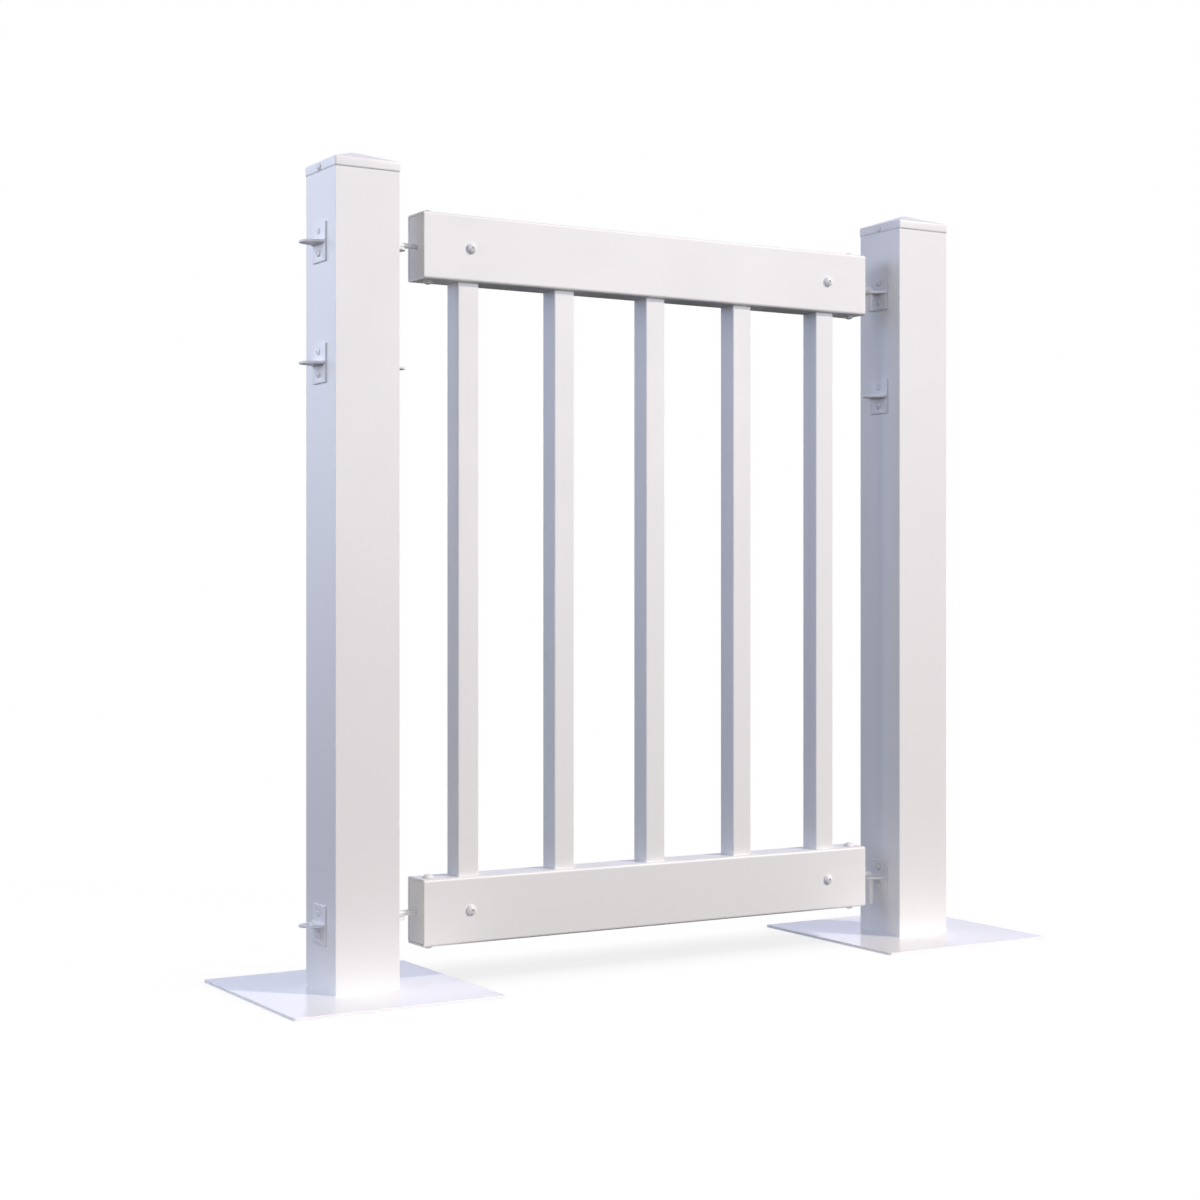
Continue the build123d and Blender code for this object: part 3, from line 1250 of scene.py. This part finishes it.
            patch = add_node(
                tree,
                "ShaderNodeBackground",
                inputs={"Color": linear(lobe.colour)},
                links={"Strength": strength.outputs[0]},
            )
            sky = add_node(tree, "ShaderNodeAddShader", links={0: sky.outputs[0], 1: patch.outputs[0]})
        mirror_level = add_node(
            tree,
            "ShaderNodeMath",
            {"operation": "MULTIPLY"},
            {1: self.mirror_strength},
            {0: above.outputs[0]},
        )
        mirror = add_node(
            tree,
            "ShaderNodeBackground",
            inputs={"Color": linear(self.mirror_colour)},
            links={"Strength": mirror_level.outputs[0]},
        )
        backdrop = add_node(tree, "ShaderNodeBackground", inputs={"Color": linear(WHITE), "Strength": 1.0})
        seen = add_node(
            tree,
            "ShaderNodeMath",
            {"operation": "MAXIMUM"},
            links={0: path["Is Camera Ray"], 1: path["Is Transmission Ray"]},
        )
        reflected = add_node(
            tree,
            "ShaderNodeMixShader",
            links={0: path["Is Glossy Ray"], 1: sky.outputs[0], 2: mirror.outputs[0]},
        )
        whole = add_node(
            tree,
            "ShaderNodeMixShader",
            links={0: seen.outputs[0], 1: reflected.outputs[0], 2: backdrop.outputs[0]},
        )
        add_node(tree, "ShaderNodeOutputWorld", links={"Surface": whole.outputs[0]})

    def light(self) -> None:
        """Hang the lamps."""
        for lamp in self.lamps:
            lamp.hang()
            log.info("%s hung at %s", lamp.name, lamp.place)


def screw_levels(bracket: HookBracket) -> list[float]:
    """Find the heights of all screws in a post's side faces.

    Args:
        bracket: The bracket's sizes.

    Returns:
        One height for the cap's screws and two for each bracket.
    """
    low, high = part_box("left_cap_screws")
    levels = [(low.z + high.z) / 2]
    for level in Level:
        low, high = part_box(f"left_outer_{level.value}_bracket")
        middle = (low.z + high.z) / 2
        levels += [middle - bracket.screw_offset, middle + bracket.screw_offset]
    return levels


def main() -> None:
    """Build the studio, dress the CAD nodes and fit the detailed pieces."""
    logging.basicConfig(level=logging.INFO, format="%(name)s: %(message)s")
    studio = Studio()
    studio.set_camera()
    studio.lay_floor()
    studio.make_sky()
    studio.light()
    bpy.context.scene.view_settings.view_transform = "Standard"

    finishes = {
        "post_vinyl": POST_VINYL.material(),
        "rail_vinyl": RAIL_VINYL.material(),
        "cap_plastic": CAP_PLASTIC.material(),
        "plug_plastic": PLUG_PLASTIC.material(),
        "base_steel": PLATE_COAT.material(),
        "stub_steel": STUB_ZINC.material(),
        "bracket_aluminium": BRACKET_COAT.material(),
        "pin_steel": PIN_COAT.material(),
        "screw_steel": SCREW_COAT.material(),
    }
    finishes["baluster_vinyl"] = finishes["post_vinyl"]

    bracket_sizes = HookBracket()
    bracket = bracket_sizes.build("right_outer_upper_bracket")
    tube = PostTube().build("left_post", screw_levels(bracket_sizes))
    cap = PostCap().build("left_post_cap")
    pan_screw = PAN_SCREW.build()
    cap_screw = CAP_SCREW.build()
    button_screw = BUTTON_SCREW.build()

    for side in Side:
        post = FencePost(side, bracket_sizes)
        post.dress(finishes)
        post.raise_tube(tube, finishes)
        post.fit_cap(cap, cap_screw, finishes)
        post.fit_brackets(bracket, pan_screw, finishes)
    panel = FencePanel()
    panel.dress(finishes)
    panel.fit_pins(HookPin(), finishes)
    panel.fit_screws(button_screw, finishes)
    for pattern in (bracket, tube, cap, pan_screw, cap_screw, button_screw):
        bpy.data.objects.remove(pattern)


if __name__ == "__main__":
    main()
